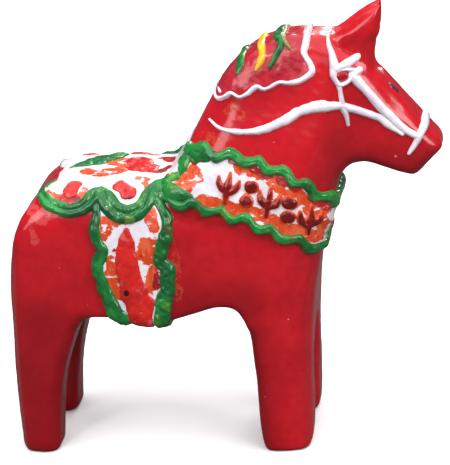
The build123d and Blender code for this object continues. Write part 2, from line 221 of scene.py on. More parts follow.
def bevel_width(p):
    """How wide the edge between a flank and the side outline is bevelled at each point."""
    x, z = p[:, 0], p[:, 2]
    width = np.full(len(p), 1.2)
    width += 0.4 * ease(29, 26, z) * ease(-32, -30, x) * ease(9, 7, x)
    width -= 0.9 * ease(27, 25.5, z) * ease(20, 21.5, z) * ease(-23, -20, x) * ease(6, 4, x)
    width += 0.4 * ease(36, 32, z) * ease(-30, -32, x)
    width += 2.6 * ease(44.4, 46, z) * ease(8, 1, x) * ease(62, 56, z)
    width += 1.0 * ease(17, 20, x) * ease(33, 28, x) * ease(50, 55, z)
    width -= 1.0 * ease(64.8, 66.5, z)
    return np.maximum(width, 0.45)


def carved_body():
    """The body with its edges bevelled and rubbed round, and the small unevenness of hand finishing."""
    source = frame["nodes"]["horse_body"]
    block = new_object("horse_blank", source.data.copy())
    skin = block.modifiers.new("skin", "REMESH")
    skin.mode = "VOXEL"
    skin.voxel_size = VOXEL * MM
    mesh = evaluated(block)
    bpy.data.objects.remove(block)

    solid = source.data
    corners = [v.co / MM for v in solid.vertices]
    flank = [tuple(p.vertices) for p in solid.polygons if abs(p.normal.y) > 0.75]
    rim = [tuple(p.vertices) for p in solid.polygons if abs(p.normal.y) < 0.3 and p.normal.z > -0.98]
    flank_tree = BVHTree.FromPolygons(corners, flank)
    rim_tree = BVHTree.FromPolygons(corners, rim)

    v = mesh_arrays(mesh)
    width = bevel_width(v)
    for i, point in enumerate(v):
        one = rim_tree.find_nearest(Vector(point), 5.5)
        two = flank_tree.find_nearest(Vector(point), 5.5)
        if one[0] is None or two[0] is None:
            continue
        short = width[i] - one[3] - two[3]
        if short > 0:
            inward = -(one[1] + two[1]).normalized()
            v[i] += np.array(inward) * short * 0.70

    edges = edge_pairs(mesh)
    degree = np.bincount(edges.ravel(), minlength=len(v)).astype(float)
    crisp = np.where(v[:, 2] > 65.5, 0.35, 1.0)[:, None]
    for _ in range(16):
        for pull in (0.55, -0.30):
            v += (neighbour_mean(v, edges, degree) - v) * pull * crisp
    for _ in range(5):
        v += (neighbour_mean(v, edges, degree) - v) * 0.5 * crisp
    rubbed = (ease(44.5, 47.0, v[:, 2]) * ease(9.0, 4.0, v[:, 0]))[:, None]
    for _ in range(40):
        v += (neighbour_mean(v, edges, degree) - v) * 0.5 * rubbed

    mesh.vertices.foreach_set("co", (v * MM).ravel())
    mesh.update()
    normal = np.empty(len(v) * 3)
    mesh.vertices.foreach_get("normal", normal)
    normal = normal.reshape(-1, 3)
    hand = 0.10 * waver(v, 11.0, 3) + 0.035 * waver(v, 3.2, 4)
    hand *= ease(0.0, 2.0, v[:, 2])
    v += normal * hand[:, None]
    v[:, 2] = np.maximum(v[:, 2], 0.0)
    mesh.vertices.foreach_set("co", (v * MM).ravel())
    mesh.update()
    for polygon in mesh.polygons:
        polygon.use_smooth = True
    return new_object("lacquered_body", mesh)


body = carved_body()


# ---- skins of the body ----
class Surface:
    """The body's surface, from which a relief piece takes the part that it covers."""

    def __init__(self, obj):
        self.v = mesh_arrays(obj.data)
        n = np.empty(len(self.v) * 3)
        obj.data.vertices.foreach_get("normal", n)
        self.n = n.reshape(-1, 3)
        corner = np.empty(len(obj.data.loops), int)
        obj.data.loops.foreach_get("vertex_index", corner)
        self.quads = corner.reshape(-1, 4)

    def cover(self, height, low, high, levels):
        """The body's surface under a relief piece, divided finer: its points and normals, and its faces."""
        boxed = np.flatnonzero(((self.v >= low) & (self.v <= high)).all(axis=1))
        near = np.zeros(len(self.v), bool)
        near[boxed[height(self.v[boxed], self.n[boxed]) > NEAR]] = True
        used, quads = np.unique(self.quads[near[self.quads].any(axis=1)], return_inverse=True)
        mesh = bpy.data.meshes.new("cover")
        mesh.from_pydata([tuple(p) for p in self.v[used] * MM], [], quads.reshape(-1, 4).tolist())
        cover = new_object("cover", mesh)
        finer = cover.modifiers.new("finer", "SUBSURF")
        finer.levels = levels
        finer.render_levels = levels
        fine = evaluated(cover)
        bpy.data.objects.remove(cover)
        v = mesh_arrays(fine)
        n = np.empty(len(v) * 3)
        fine.vertices.foreach_get("normal", n)
        corner = np.empty(len(fine.loops), int)
        fine.loops.foreach_get("vertex_index", corner)
        return v, n.reshape(-1, 3), corner.reshape(-1, 4)


surface = Surface(body)


def skin(name, slot, height, low, high, levels=2, masks=None):
    """A closed relief piece: the body's surface inside a box, raised by height(points, normals), in mm.

    Where the height is below zero there is no piece. masks are functions of the points that the finish
    reads.
    """
    v, n, quads = surface.cover(height, low, high, levels)
    h = height(v, n)
    keep = (h[quads] > -0.10).any(axis=1)
    quads = quads[keep]
    used, quads = np.unique(quads, return_inverse=True)
    quads = quads.reshape(-1, 4)
    v, n, h = v[used], n[used], np.maximum(h[used], -0.14)
    top = v + n * h[:, None]
    root = v - n * SUNK
    count = len(v)
    sides = np.concatenate([quads[:, [i, (i + 1) % 4]] for i in range(4)])
    key = np.sort(sides, axis=1)
    _, first, times = np.unique(key, axis=0, return_index=True, return_counts=True)
    rim = sides[first[times == 1]]
    walls = np.stack([rim[:, 1], rim[:, 0], rim[:, 0] + count, rim[:, 1] + count], axis=1)
    faces = np.concatenate([quads, quads[:, ::-1] + count, walls])
    points = np.concatenate([top, root])
    mesh = bpy.data.meshes.new(name)
    mesh.from_pydata([tuple(p) for p in points * MM], [], faces.tolist())
    for label, mask in (masks or {}).items():
        value = mask(v, n)
        layer = mesh.attributes.new(label, "FLOAT", "POINT")
        layer.data.foreach_set("value", np.concatenate([value, value]).astype(np.float32))
    mesh.polygons.foreach_set("use_smooth", [True] * len(mesh.polygons))
    mesh.update()
    obj = new_object(name, mesh)
    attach(obj, "root")
    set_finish(obj, slot)
    return obj


def bead(line, width, tall, wave=0.0, pitch=4.0, shape=((0, 1), (1, 1)), groove=0.0, seed=1, lump=0.10):
    """The height of a rounded bead of paste laid along a line.

    wave and pitch make its edges swing; groove is a dip along its middle; shape is how its width goes, as
    (share of the way along, share of the width).
    """
    turns = max(1, round(line.length / pitch))
    places, sizes = np.array(shape).T

    def height(v, n=None):
        off, far, share = line.measure(line.see(v))
        beyond = np.sqrt(np.maximum(0, far ** 2 - off ** 2))
        off = off - wave * np.sin(2 * math.pi * turns * share + 0.5 * waver(v, 6.0, seed))
        swell = np.interp(share, places, sizes)
        half = width / 2 * swell * (1 + lump * 1.3 * waver(v, 3.4, seed + 7))
        u = np.hypot(off, beyond) / half
        crown = np.sqrt(np.clip(1 - u ** 2, 0, 1))
        h = tall * (0.4 + 0.6 * np.minimum(swell, 1.1)) * (crown - groove * np.exp(-(u / 0.30) ** 2))
        h *= 1 + lump * waver(v, 2.3, seed + 13)
        return np.where(u < 1, h, -0.5 * (u - 1) * half)
    return height


def patch(ring, tall, rough=0.05, seed=5, edge=0.35, see=side_view):
    """The height of a thin coat inside a closed drawn ring, with a soft edge."""
    border = Line(list(ring) + [ring[0]], see=see)

    def height(v, n=None):
        q = see(v)
        far = border.measure(q)[1]
        depth = np.where(inside(q, border.p), far, -far)
        return np.where(depth > 0, tall * ease(-0.05, edge, depth) + rough * waver(v, 2.6, seed), -0.5 * far)
    return height


def only(way, height):
    """Keeps a height to one flank: way is -1 for the right-hand side and 1 for the left."""
    return lambda v, n=None: np.where(v[:, 1] * way > 0.4, height(v, n), BARE)


def off_the_back(height):
    """Takes a rope off the back of the neck, all but its right-hand corner."""
    def ended(v, n=None):
        return height(v, n) - 1.3 * ease(-5.5, -3.0, v[:, 1]) * ease(9.5, 8.0, v[:, 1]) * (v[:, 0] < 4.0)
    return ended


def thin_behind(height):
    """Thins a rope where it runs round the chest to the left-hand flank."""
    return lambda v, n=None: height(v, n) - 0.95 * ease(11, 15, v[:, 0]) * ease(3, 8, v[:, 1])


def box_round(points, low_y=-16.0, high_y=16.0, room=2.0):
    """A box in mm that holds drawn side-view points with room to spare."""
    p = np.array([at(*q) for q in points])
    low, high = p.min(axis=0) - room, p.max(axis=0) + room
    return (low[0], low_y, low[1]), (high[0], high_y, high[1])


def highest(*heights):
    return lambda v, n=None: np.max([h(v, n) for h in heights], axis=0)


def on_top(base, dab, rise):
    """A dab that stands a little above whatever coat lies under it, and is nowhere else."""
    return lambda v, n=None: np.where(dab(v, n) > 0, np.maximum(base(v, n), 0) + rise * dab(v, n), dab(v, n))


# ---- drawings, mm, side view (x, z); on the saddle z runs on from 44 to 52 over the back, as unrolled ----
SADDLE_EDGE = [(-25.8, 48.0), (-26.8, 46.4), (-27.2, 44.8), (-26.9, 43.2), (-25.9, 42.3), (-24.6, 41.6),
               (-22.7, 41.1), (-20.9, 41.3), (-19.6, 42.0), (-18.6, 42.9), (-17.4, 43.1), (-16.4, 42.0),
               (-15.2, 40.9), (-13.7, 40.4), (-12.2, 40.6), (-10.9, 41.4), (-10.2, 42.6), (-9.6, 43.8),
               (-8.6, 45.0), (-7.0, 45.6), (-5.6, 46.2), (-4.4, 47.0), (-3.6, 48.4)]
SADDLE_SHAPE = [(0, 0.2), (0.1, 0.45), (0.16, 0.7), (0.32, 0.72), (0.42, 0.95), (0.47, 1.05), (0.62, 1.1),
                (0.72, 0.9), (0.82, 0.85), (0.92, 0.75), (1, 0.5)]
GIRTH_REAR = [(-18.3, 41.6), (-18.3, 40.2), (-18.5, 38.6), (-18.1, 36.4), (-17.6, 34.8), (-18.3, 33.0),
              (-18.3, 31.0), (-17.9, 29.3), (-17.4, 27.5), (-16.8, 26.0), (-16.2, 24.5), (-15.3, 22.8),
              (-14.9, 18.0)]
GIRTH_FRONT = [(-9.2, 42.8), (-7.9, 41.0), (-7.2, 39.2), (-7.3, 37.6), (-8.2, 35.9), (-8.5, 34.4),
               (-8.9, 33.0), (-7.9, 31.7), (-7.7, 29.7), (-7.9, 28.1), (-8.7, 26.0), (-9.1, 23.1),
               (-9.2, 18.0)]
COLLAR_TOP = [(-6.0, 49.4), (-2.8, 49.6), (-0.6, 49.3), (1.7, 49.0), (4.4, 48.6), (7.5, 47.6), (10.2, 46.5),
              (12.8, 45.2), (15.0, 43.4), (17.4, 41.3), (20.0, 39.4)]
COLLAR_BOTTOM = [(-8.0, 42.6), (-6.3, 42.1), (-4.0, 42.0), (-1.6, 41.4), (1.4, 40.5), (4.3, 39.4),
                 (7.4, 38.1), (10.2, 36.8), (12.9, 35.4), (15.4, 33.8), (19.0, 31.8)]
JOINT = [(-10.0, 42.4), (-7.6, 43.2), (-5.2, 43.4), (-3.4, 43.0)]
COLLAR_JOINT = [(-3.9, 49.0), (-2.4, 48.7), (-0.6, 48.9)]
MANE_EDGE = [(2.6, 61.4), (1.1, 59.4), (0.5, 57.9), (1.1, 56.9), (2.6, 57.5), (3.6, 58.1), (4.8, 57.6),
             (6.0, 58.1), (7.5, 59.1), (8.8, 58.7), (10.9, 59.6), (12.5, 59.5), (14.4, 59.9), (15.9, 61.0),
             (15.7, 62.1), (14.8, 63.7), (15.1, 65.0), (15.2, 66.0), (14.2, 68.0)]
MANE_SHAPE = [(0, 0.4), (0.1, 0.5), (0.18, 0.6), (0.26, 0.85), (0.32, 0.5), (0.42, 0.9), (0.5, 0.5),
              (0.62, 0.8), (0.72, 1.05), (0.84, 0.9), (0.92, 1.1), (0.95, 0.6), (1, 0.4)]
REIN = [(-0.2, 53.7), (1.0, 53.1), (2.7, 52.7), (4.6, 52.5), (6.6, 52.5), (8.5, 52.8), (10.4, 53.5),
        (12.4, 54.4), (13.8, 55.2), (15.5, 55.7), (17.2, 55.9), (18.5, 55.8), (19.9, 55.6), (21.6, 55.0),
        (24.2, 54.0), (25.9, 53.2), (27.6, 51.8), (29.2, 50.5)]
REIN_SHAPE = [(0, 0.22), (0.15, 0.5), (0.3, 0.8), (0.42, 0.95), (0.56, 1.1), (0.68, 0.75), (0.8, 0.75),
              (0.92, 0.8), (1, 0.45)]
CROWN_STRAP = [(18.2, 69.0), (18.5, 65.3), (19.1, 63.3), (19.4, 61.7), (19.3, 60.4), (20.0, 58.8),
               (20.3, 56.7), (20.4, 55.3), (20.8, 54.2), (21.1, 52.4)]
CROWN_SHAPE = [(0, 0.2), (0.2, 0.3), (0.33, 0.65), (0.42, 1.0), (0.5, 0.85), (0.6, 0.5), (0.75, 0.5),
               (0.85, 0.7), (1, 0.35)]
CHEEK_STRAP = [(22.1, 60.1), (22.7, 59.4), (24.6, 57.0), (26.4, 54.7), (28.3, 52.4), (30.0, 50.9),
               (31.3, 50.0)]
CHEEK_SHAPE = [(0, 1.1), (0.2, 0.85), (0.6, 0.95), (0.85, 0.8), (1, 0.7)]
NOSEBAND = [(34.8, 53.4), (33.6, 52.2), (32.7, 51.4), (32.1, 50.6), (31.5, 49.5), (30.8, 48.3), (30.1, 47.3)]
NOSE_SHAPE = [(0, 0.6), (0.15, 0.8), (0.3, 1.15), (0.5, 0.85), (0.8, 0.55), (1, 0.4)]
BROWBAND = [(19.8, 61.3), (20.9, 61.8), (21.8, 62.2), (22.8, 62.5)]
LOWER_LID = [(19.6, 60.0), (20.0, 58.9), (21.1, 59.1), (22.0, 59.9), (23.0, 60.7)]
UPPER_LID = [(20.3, 61.1), (21.4, 61.1), (22.8, 60.7)]
EYE = [(20.2, 60.1), (20.9, 60.3)]
FACE_DOT = [(-2.3, 57.3), (-1.8, 56.6)]      # from the front, (y, z)
MANE_STROKES = {
    "mane_stroke_green_rear": (
        "green_paint", 1.25, [(6.2, 67.0), (5.6, 64.6), (5.1, 63.2), (5.1, 62.2), (4.7, 60.9)]),
    "mane_stroke_yellow": (
        "yellow_paint", 1.15, [(7.5, 68.0), (7.8, 65.2), (8.3, 64.4), (8.6, 63.4), (8.2, 62.5),
                               (7.5, 61.5)]),
    "mane_stroke_green_front": (
        "green_paint", 1.1, [(8.8, 67.5), (10.2, 66.0), (11.3, 65.5), (11.3, 64.8), (10.7, 63.6),
                             (10.2, 62.7), (9.6, 61.7)]),
    "mane_stroke_tan": ("tan_paint", 0.8, [(10.9, 67.5), (11.6, 65.8), (12.8, 64.3)]),
}

# dabs of paint that lie flat on the coats, as (from, to, half width); the collar's dark red scallops are
# painted shadow and the body's scuffs are painted lighter pink as a highlight
SADDLE_ORANGE = [((-21.2, 50.4), (-18.2, 49.0), 1.2), ((-18.2, 49.2), (-15.6, 50.8), 1.7),
                 ((-12.1, 47.0), (-10.6, 46.6), 0.5), ((-9.6, 49.0), (-8.4, 49.6), 0.7),
                 ((-10.9, 45.4), (-10.4, 44.2), 0.45), ((-26.2, 43.8), (-24.6, 42.7), 0.5),
                 ((-24.6, 42.7), (-21.4, 42.4), 0.7), ((-21.0, 42.4), (-20.2, 44.0), 0.6)]
SADDLE_RED = [((-23.6, 42.6), (-21.2, 42.5), 0.5), ((-9.2, 49.2), (-7.8, 51.0), 0.8),
              ((-7.2, 47.4), (-6.4, 48.4), 0.7)]
GIRTH_ORANGE = [((-17.2, 39.6), (-14.4, 39.4), 0.72), ((-17.7, 39.4), (-17.3, 37.0), 0.42),
                ((-16.3, 38.6), (-16.4, 37.8), 0.42), ((-9.9, 40.9), (-9.2, 38.5), 0.96),
                ((-11.4, 34.0), (-9.3, 35.7), 0.96), ((-10.6, 35.5), (-10.2, 33.5), 1.32),
                ((-16.1, 33.3), (-16.5, 31.5), 0.96), ((-16.6, 29.7), (-15.1, 27.6), 1.2),
                ((-9.8, 31.4), (-10.9, 28.3), 0.96)]
GIRTH_RED = [((-9.3, 31.0), (-9.4, 28.9), 0.6), ((-11.6, 34.0), (-11.1, 33.6), 0.35),
             ((-15.6, 34.9), (-14.9, 34.7), 0.35), ((-12.4, 24.0), (-12.3, 21.0), 1.8)]
COLLAR_ORANGE = [((-5.0, 43.6), (-2.4, 46.1), 1.25), ((4.4, 47.4), (11.1, 45.0), 1.0),
                 ((9.5, 45.6), (16.5, 40.2), 1.38), ((-1.6, 42.7), (2.5, 41.4), 0.88),
                 ((2.5, 41.4), (9.2, 39.2), 1.12), ((9.2, 38.8), (15.4, 35.8), 1.12),
                 ((14.0, 42.2), (17.0, 36.5), 1.12)]
# Painted shadow: dark red scallops along the foot of the collar's upper rope, where the rope shades the
# white coat.
COLLAR_ROPE_SHADOW = [((3.2, 48.2), (5.0, 47.7), 0.55), ((6.6, 46.9), (8.8, 46.1), 0.75),
              ((10.8, 45.2), (13.0, 44.2), 0.75), ((15.3, 42.2), (17.2, 40.4), 0.8),
              ((-4.0, 48.2), (-2.4, 48.0), 0.6)]
GIRTH_PIT = [((-14.2, 28.1), (-14.3, 27.9), 0.5)]
BODY_SMEAR = [((-6.5, 36.2), (-6.7, 33.0), 0.5), ((-6.6, 33.0), (-6.4, 26.8), 0.6),
              ((-5.9, 34.0), (-5.7, 28.0), 0.25), ((2.9, 55.9), (4.9, 55.0), 0.9),
              ((-0.2, 51.6), (1.6, 51.0), 0.7)]
# Painted highlight: rough scuffs in the lacquer of the rump, painted lighter pink where a highlight lies on
# them.
BODY_SCUFF_HIGHLIGHT = [((-28.9, 41.4), (-27.4, 40.2), 0.9), ((-28.8, 38.6), (-28.2, 36.8), 0.6),
              ((-26.6, 39.6), (-25.6, 40.2), 0.5)]


# Painted shade: zones where the red is painted darker because shade falls there, under the belly, on the
# rear legs, under the jaw, on the throat and behind the front legs, as (from, to, half width).
BODY_SHADE = [((-9.0, 24.5), (4.0, 26.0), 3.2), ((-30.0, 0.0), (-28.5, 22.0), 4.5),
              ((21.5, 46.6), (31.0, 45.4), 2.4), ((17.5, 42.0), (20.0, 48.5), 1.6),
              ((5.5, 0.0), (5.0, 20.0), 2.0)]


def capsules(dabs, see=side_view):
    """How far inside the nearest dab each point lies, in mm; below zero outside them all."""
    def mask(v, n=None):
        q = see(v)
        best = np.full(len(q), -9.0)
        for start, end, half in dabs:
            a, b = np.array(at(*start)), np.array(at(*end))
            t = np.clip(((q - a) @ (b - a)) / max(1e-6, (b - a) @ (b - a)), 0, 1)
            best = np.maximum(best, half - np.linalg.norm(q - (a + t[:, None] * (b - a)), axis=1))
        return best
    return mask


def raised(heights):
    """The height itself, as a mask that a finish can read."""
    return lambda v, n=None: np.clip(heights(v, n), 0, 2)


def harness():
    """Saddle cloth, girth and breast collar, their piping and the motifs on them."""
    top_line, bottom_line = Line(COLLAR_TOP), Line(COLLAR_BOTTOM)
    saddle_ring = SADDLE_EDGE + [(-5.0, 48.6), (-5.7, 50.0), (-6.2, 56.0), (-24.6, 56.0)]
    laid = patch(saddle_ring, CLOTH, seed=21, see=unrolled)

    def saddle(v, n=None):
        h = laid(v, n)
        return np.where(v[:, 0] > -9.5, np.minimum(h, (47.2 - v[:, 2]) * 0.8), h)
    collar = patch(COLLAR_TOP + COLLAR_BOTTOM[::-1], CLOTH, seed=22)
    girth = patch(GIRTH_REAR + GIRTH_FRONT[::-1], CLOTH, seed=23)

    coats = (
        ("saddle_cloth_coat", saddle, SADDLE_EDGE, "saddle_cloth", SADDLE_ORANGE, SADDLE_RED, unrolled),
        ("collar_coat", collar, COLLAR_TOP + COLLAR_BOTTOM, "breast_collar", COLLAR_ORANGE, COLLAR_ROPE_SHADOW,
         side_view),
        ("girth_coat", girth, GIRTH_REAR + GIRTH_FRONT, "girth_panel", GIRTH_ORANGE, GIRTH_RED, side_view),
    )
    for name, height, drawn, node, orange, red, see in coats:
        # the red mask holds dark red dabs of paint, and on the collar the painted shadow under its upper
        # rope
        masks = {"orange": capsules(orange, see), "red": capsules(red, see)}
        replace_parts(skin(name, "white_ground", height, *box_round(drawn), levels=1, masks=masks), node)

    saddle_rope = bead(Line(SADDLE_EDGE, see=unrolled), 2.75, PIPING, shape=SADDLE_SHAPE, groove=0.30,
                       lump=0.12, seed=31)
    joint = bead(Line(JOINT), 2.7, 0.8, shape=[(0, 0.8), (0.5, 1), (1, 0.6)], lump=0.2, seed=33)

    def saddle_and_joint(v, n=None):
        """The saddle's rope with its joint to the collar, left off the left-hand corner of the rump."""
        corner = (v[:, 1] > 0) & (v[:, 0] < -23) & (v[:, 2] > 42.6)
        return np.where(corner, BARE, highest(saddle_rope, joint)(v, n))

    girth_way = dict(width=2.55, tall=0.95, groove=0.16, lump=0.20,
                     shape=[(0, 0.6), (0.3, 0.85), (0.6, 1), (1, 1.15)])
    collar_way = dict(width=1.7, tall=0.95, wave=0.45, pitch=4.0, groove=0.10, lump=0.12)
    collar_rope = thin_behind(off_the_back(bead(Line(COLLAR_TOP), seed=51, **collar_way)))
    collar_joint = off_the_back(bead(Line(COLLAR_JOINT), 2.3, 0.9, lump=0.2, seed=52))
    collar_hem = thin_behind(bead(Line(COLLAR_BOTTOM), seed=53, **collar_way))
    ropes = (
        ("saddle_piping_bead", SADDLE_EDGE + JOINT, "saddle_piping", saddle_and_joint),
        ("girth_bead_rear", GIRTH_REAR, "girth_piping_rear", bead(Line(GIRTH_REAR), seed=41, **girth_way)),
        ("girth_bead_front", GIRTH_FRONT, "girth_piping_front",
         bead(Line(GIRTH_FRONT), seed=43, **girth_way)),
        ("collar_bead_upper", COLLAR_TOP, "collar_piping_upper", highest(collar_rope, collar_joint)),
        ("collar_bead_lower", COLLAR_BOTTOM, "collar_piping_lower", collar_hem),
    )
    for name, drawn, node, height in ropes:
        piece = skin(name, "green_paint", height, *box_round(drawn, room=2.5),
                     masks={"tall": raised(height)})
        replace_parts(piece, node)

    for side, way in (("right", -1), ("left", 1)):
        def dab(name, slot, base, height, drawn, rise=0.75):
            lifted = only(way, on_top(base, height, rise))
            masks = {"tall": raised(height), "pit": capsules(GIRTH_PIT)}
            piece = skin(f"{name}_dab_{side}", slot, lifted, *box_round(drawn, room=2.0), masks=masks)
            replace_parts(piece, f"{name}_{side}")

        berry1 = bead(Line([(-22.2, 43.8), (-22.1, 45.0)], see=unrolled), 2.9, 0.6, lump=0.2, seed=101)
        berry2 = bead(Line([(-14.4, 44.9), (-13.2, 43.5)], see=unrolled), 2.9, 0.6, lump=0.2, seed=103)
        dab("saddle_berries", "coral_paint", saddle, highest(berry1, berry2), [(-25.5, 41.0), (-9.5, 46.0)])
        upper = bead(Line([(-13.5, 38.0), (-13.7, 36.2), (-13.9, 33.4)]), 3.1, 0.5,
                     shape=[(0, 0.35), (0.35, 0.9), (1, 1.15)], seed=105)
        dab("girth_tulip_upper", "coral_paint", girth, upper, [(-15.6, 39.5), (-11.8, 32.0)])
        lower = bead(Line([(-13.9, 33.4), (-13.8, 31.9), (-13.5, 30.2), (-13.1, 28.2)]), 3.7, 0.55,
                     shape=[(0, 0.9), (0.5, 1), (1, 1.1)], seed=107)
        petal = bead(Line([(-13.1, 27.6), (-12.6, 26.0), (-12.3, 22.6)]), 4.4, 0.5,
                     shape=[(0, 1), (0.5, 1.1), (1, 0.8)], seed=109)
        dab("girth_tulip_lower", "coral_paint", girth, highest(lower, petal), [(-15.6, 34.5), (-10.0, 22.4)])

        leaves, berries = [], []
        for place in range(5):
            share = 0.34 + 0.46 * place / 4
            top, bottom = (line.p[int(share * (len(line.p) - 1))] for line in (top_line, bottom_line))
            across = (top - bottom) / np.linalg.norm(top - bottom)
            ahead = np.array([across[1], -across[0]])
            middle = (top + bottom) / 2 - across * 0.2
            if place % 2:
                for lean in (-1, 1):
                    centre = middle + across * lean * 1.15
                    pip = Line([centre - ahead * 0.2, centre + ahead * 0.2], drawn=False)
                    berries.append(bead(pip, 2.0, 0.55, lump=0.2, seed=111 + place + lean))
                continue
            for lean in (-1, 0, 1):
                root = middle - across * (2.2 if lean == 0 else 1.1)
                tip = middle + across * (2.2 if lean == 0 else 1.3) + ahead * lean * 1.6
                bend = (root + tip) / 2 + ahead * lean * 0.5
                leaves.append(bead(Line([root, bend, tip], drawn=False), 1.45, 0.55,
                                   shape=[(0, 0.6), (0.5, 1), (1, 0.35)], lump=0.2,
                                   seed=121 + 3 * place + lean))
        motif_box = COLLAR_TOP[1:] + COLLAR_BOTTOM[2:]
        dab("collar_leaves", "maroon_paint", collar, highest(*leaves), motif_box, rise=0.95)
        dab("collar_berries", "maroon_paint", collar, highest(*berries), motif_box, rise=0.95)

    def lone_dab(name, slot, drawn, width, tall, shape, see, low, high):
        """A dab drawn from above or from the front, kept to a box, over the saddle cloth if it is there."""
        form = bead(Line(drawn, drawn=False, see=see), width, tall, shape=shape, lump=0.2, seed=131)
        covered = on_top(saddle, form, 0.75)
        piece = skin(name + "_dab", slot, covered, low, high, masks={"tall": raised(form)})
        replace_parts(piece, name)

    lone_dab("saddle_leaf", "green_paint", [(-24.5, 0.5), (-22.0, 1.8), (-19.2, 3.6), (-16.2, 5.6)],
             3.6, 0.55, [(0, 0.15), (0.35, 1), (0.7, 0.85), (1, 0.15)], from_above,
             (-27, -9, 42), (-9, 9, 50))
    lone_dab("saddle_blossom", "coral_paint", [(-13.8, 2.4), (-13.1, 0.2), (-12.4, -1.6)], 4.6, 0.6,
             [(0, 0.8), (1, 1)], from_above, (-19, -8, 42), (-6, 8, 50))
    lone_dab("face_dot", "black_paint", FACE_DOT, 1.1, 0.4, [(0, 1), (1, 0.9)], from_front,
             (26, -5, 50), (32, 1, 60))


def mane():
    """The mane patch with its white edging and brush strokes."""
    flat = patch(MANE_EDGE + [(14.0, 75.0), (2.0, 75.0)], MANE, rough=0.05, seed=24)

    def combed(v, n=None):
        h = flat(v, n)
        return np.where(h > 0, h + 0.09 * waver(v * np.array([1.0, 0.7, 0.7]), 2.6, 25), h)
    low, high = box_round(MANE_EDGE, room=3.0)
    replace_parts(skin("mane_coat", "mane_red", combed, low, high, levels=1), "mane_patch")
    edging = highest(bead(Line(MANE_EDGE), 0.92, CORD * 0.9, seed=61, shape=MANE_SHAPE, lump=0.16),
                     bead(Line([(1.5, 58.2), (1.7, 58.0)]), 0.7, 0.45, seed=62))
    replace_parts(skin("mane_bead", "white_cord", edging, low, high), "mane_edging")
    for number, (name, (slot, width, drawn)) in enumerate(MANE_STROKES.items()):
        dab = bead(Line(drawn), width, 0.5, shape=[(0, 1.2), (0.5, 1), (0.8, 0.9), (1, 0.4)],
                   seed=70 + number, lump=0.2)
        piece = skin(name + "_dab", slot, on_top(flat, dab, 0.8), *box_round(drawn, room=2.0),
                     masks={"tall": raised(dab)})
        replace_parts(piece, name)


def bridle():
    """The white cords on the head, and the eyes."""
    def cord(name, drawn, width, shape, seed, keep=lambda h: h, node=None, also=None, lump=0.10):
        height = bead(Line(drawn), width, CORD * 0.9, shape=shape, seed=seed, lump=lump)
        height = keep(highest(height, also) if also else height)
        piece = skin(name, "white_cord", height, *box_round(drawn, room=2.0))
        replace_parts(piece, node)

    cord("crown_strap_bead", CROWN_STRAP, 1.3, CROWN_SHAPE, 81, node="crown_strap")
    cord("noseband_bead", NOSEBAND, 1.4, NOSE_SHAPE, 82, node="noseband")
    for side, way in (("right", -1), ("left", 1)):
        def near(height):
            return only(way, height)
        cord(f"rein_bead_{side}", REIN, 1.5, REIN_SHAPE, 90 + way, near, f"rein_{side}")
        cord(f"cheek_strap_bead_{side}", CHEEK_STRAP, 1.35, CHEEK_SHAPE, 93 + way, near,
             f"cheek_strap_{side}")
        cord(f"browband_bead_{side}", BROWBAND, 1.35, [(0, 0.9), (0.5, 0.85), (1, 0.8)], 96 + way, near,
             f"browband_{side}", lump=0.22)
        upper_lid = bead(Line(UPPER_LID), 0.5, CORD * 0.7, shape=[(0, 0.8), (1, 1.4)], seed=98)
        cord(f"eye_ring_bead_{side}", LOWER_LID, 0.75, [(0, 0.7), (0.4, 0.9), (0.8, 1.1), (1, 1.5)],
             99 + way, near, f"eye_ring_{side}", also=upper_lid)
        iris = bead(Line(EYE), 1.45, 0.55, seed=102)
        piece = skin(f"eye_bead_{side}", "eye_red", only(way, iris), *box_round(EYE, room=2.0))
        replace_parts(piece, f"eye_{side}")


def body_marks():
    """The smears and scuffs of the body's own paint, the scuffs painted lighter pink as a painted highlight,
    and the zones of painted shade, kept as masks on its points.
    """
    v = mesh_arrays(body.data)
    for label, dabs in (("smear", BODY_SMEAR), ("scuff", BODY_SCUFF_HIGHLIGHT)):
        layer = body.data.attributes.new(label, "FLOAT", "POINT")
        value = np.where(v[:, 1] < 0, capsules(dabs)(v), -9.0)
        layer.data.foreach_set("value", value.astype(np.float32))
    layer = body.data.attributes.new("shade", "FLOAT", "POINT")
    layer.data.foreach_set("value", capsules(BODY_SHADE)(v).astype(np.float32))
    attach(body, "root")
    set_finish(body, "red_lacquer")
    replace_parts(body, "horse_body")


harness()
mane()
bridle()
body_marks()


